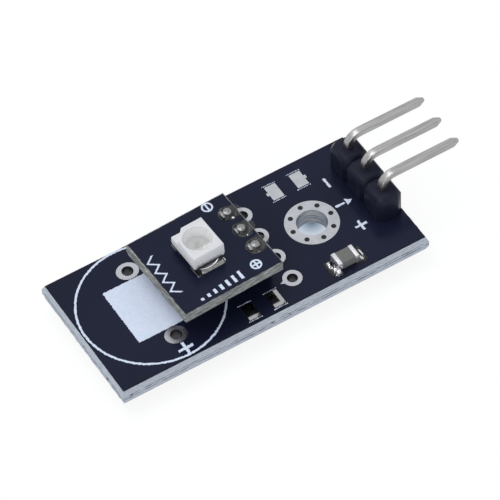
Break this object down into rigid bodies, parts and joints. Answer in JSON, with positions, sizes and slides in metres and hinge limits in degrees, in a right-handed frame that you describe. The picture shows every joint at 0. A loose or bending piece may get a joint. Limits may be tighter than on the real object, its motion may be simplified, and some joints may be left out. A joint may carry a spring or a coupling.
{
  "type": "uv sensor module",
  "caption": "Carrier board with a mounting hole, a bent-pin header at one end and a small ultraviolet photodiode board soldered above it.",
  "frame": {"origin": "centre of the mounting hole, on the underside of the carrier board", "axes": "+X along the carrier towards the tips of the header pins, +Z out of the printed face, +Y across the board"},
  "size_m": [0.0343, 0.0128, 0.0079],
  "materials": {
    "laminate": "snapped glass-fibre laminate, grey and rough at the edges",
    "solder_mask": "blue-black solder mask, semi-gloss",
    "white_print": "white printed ink",
    "tinned_land": "tinned copper, satin",
    "tinned_pin": "brass under bright tin, satin",
    "solder": "bright solder",
    "header_plastic": "black moulded plastic",
    "capacitor_ceramic": "fired tan ceramic, satin",
    "diode_plastic": "white moulded plastic, satin",
    "clear_resin": "clear resin with a faint green-grey tint",
    "silicon": "polished dark chip",
    "gold_wire": "gold wire"
  },
  "bodies": {
    "root": {"main_board": "laminate", "main_mask_top": "solder_mask", "main_mask_bottom": "solder_mask", "main_print": "white_print", "mounting_eyelet": "tinned_land", "spare_plated_holes": "tinned_land", "pair_plated_holes": "tinned_land", "header_plated_holes": "tinned_land", "link_plated_holes": "tinned_land", "sensor_plated_holes": "tinned_land", "upper_spare_pads": "tinned_land", "lower_spare_pads": "tinned_land", "capacitor_pads": "tinned_land", "sensor_diode_pads": "tinned_land", "sensor_under_pads": "tinned_land", "capacitor_body": "capacitor_ceramic", "capacitor_ends": "tinned_land", "capacitor_solder": "solder", "header_housing": "header_plastic", "header_pin_1": "tinned_pin", "header_pin_2": "tinned_pin", "header_pin_3": "tinned_pin", "header_solder": "solder", "link_housing": "header_plastic", "link_pin_1": "tinned_pin", "link_pin_2": "tinned_pin", "link_pin_3": "tinned_pin", "link_solder_bottom": "solder", "link_solder_top": "solder", "sensor_board": "laminate", "sensor_mask_top": "solder_mask", "sensor_mask_bottom": "solder_mask", "sensor_print": "white_print", "photodiode_housing": "diode_plastic", "photodiode_resin": "clear_resin", "photodiode_chip": "silicon", "photodiode_bond_wire": "gold_wire", "photodiode_anode_lead": "tinned_pin", "photodiode_cathode_lead": "tinned_pin", "photodiode_solder": "solder", "amplifier_body": "header_plastic", "amplifier_leads": "tinned_pin", "small_chip_bodies": "capacitor_ceramic", "small_chip_ends": "tinned_land"}
  },
  "joints": []
}
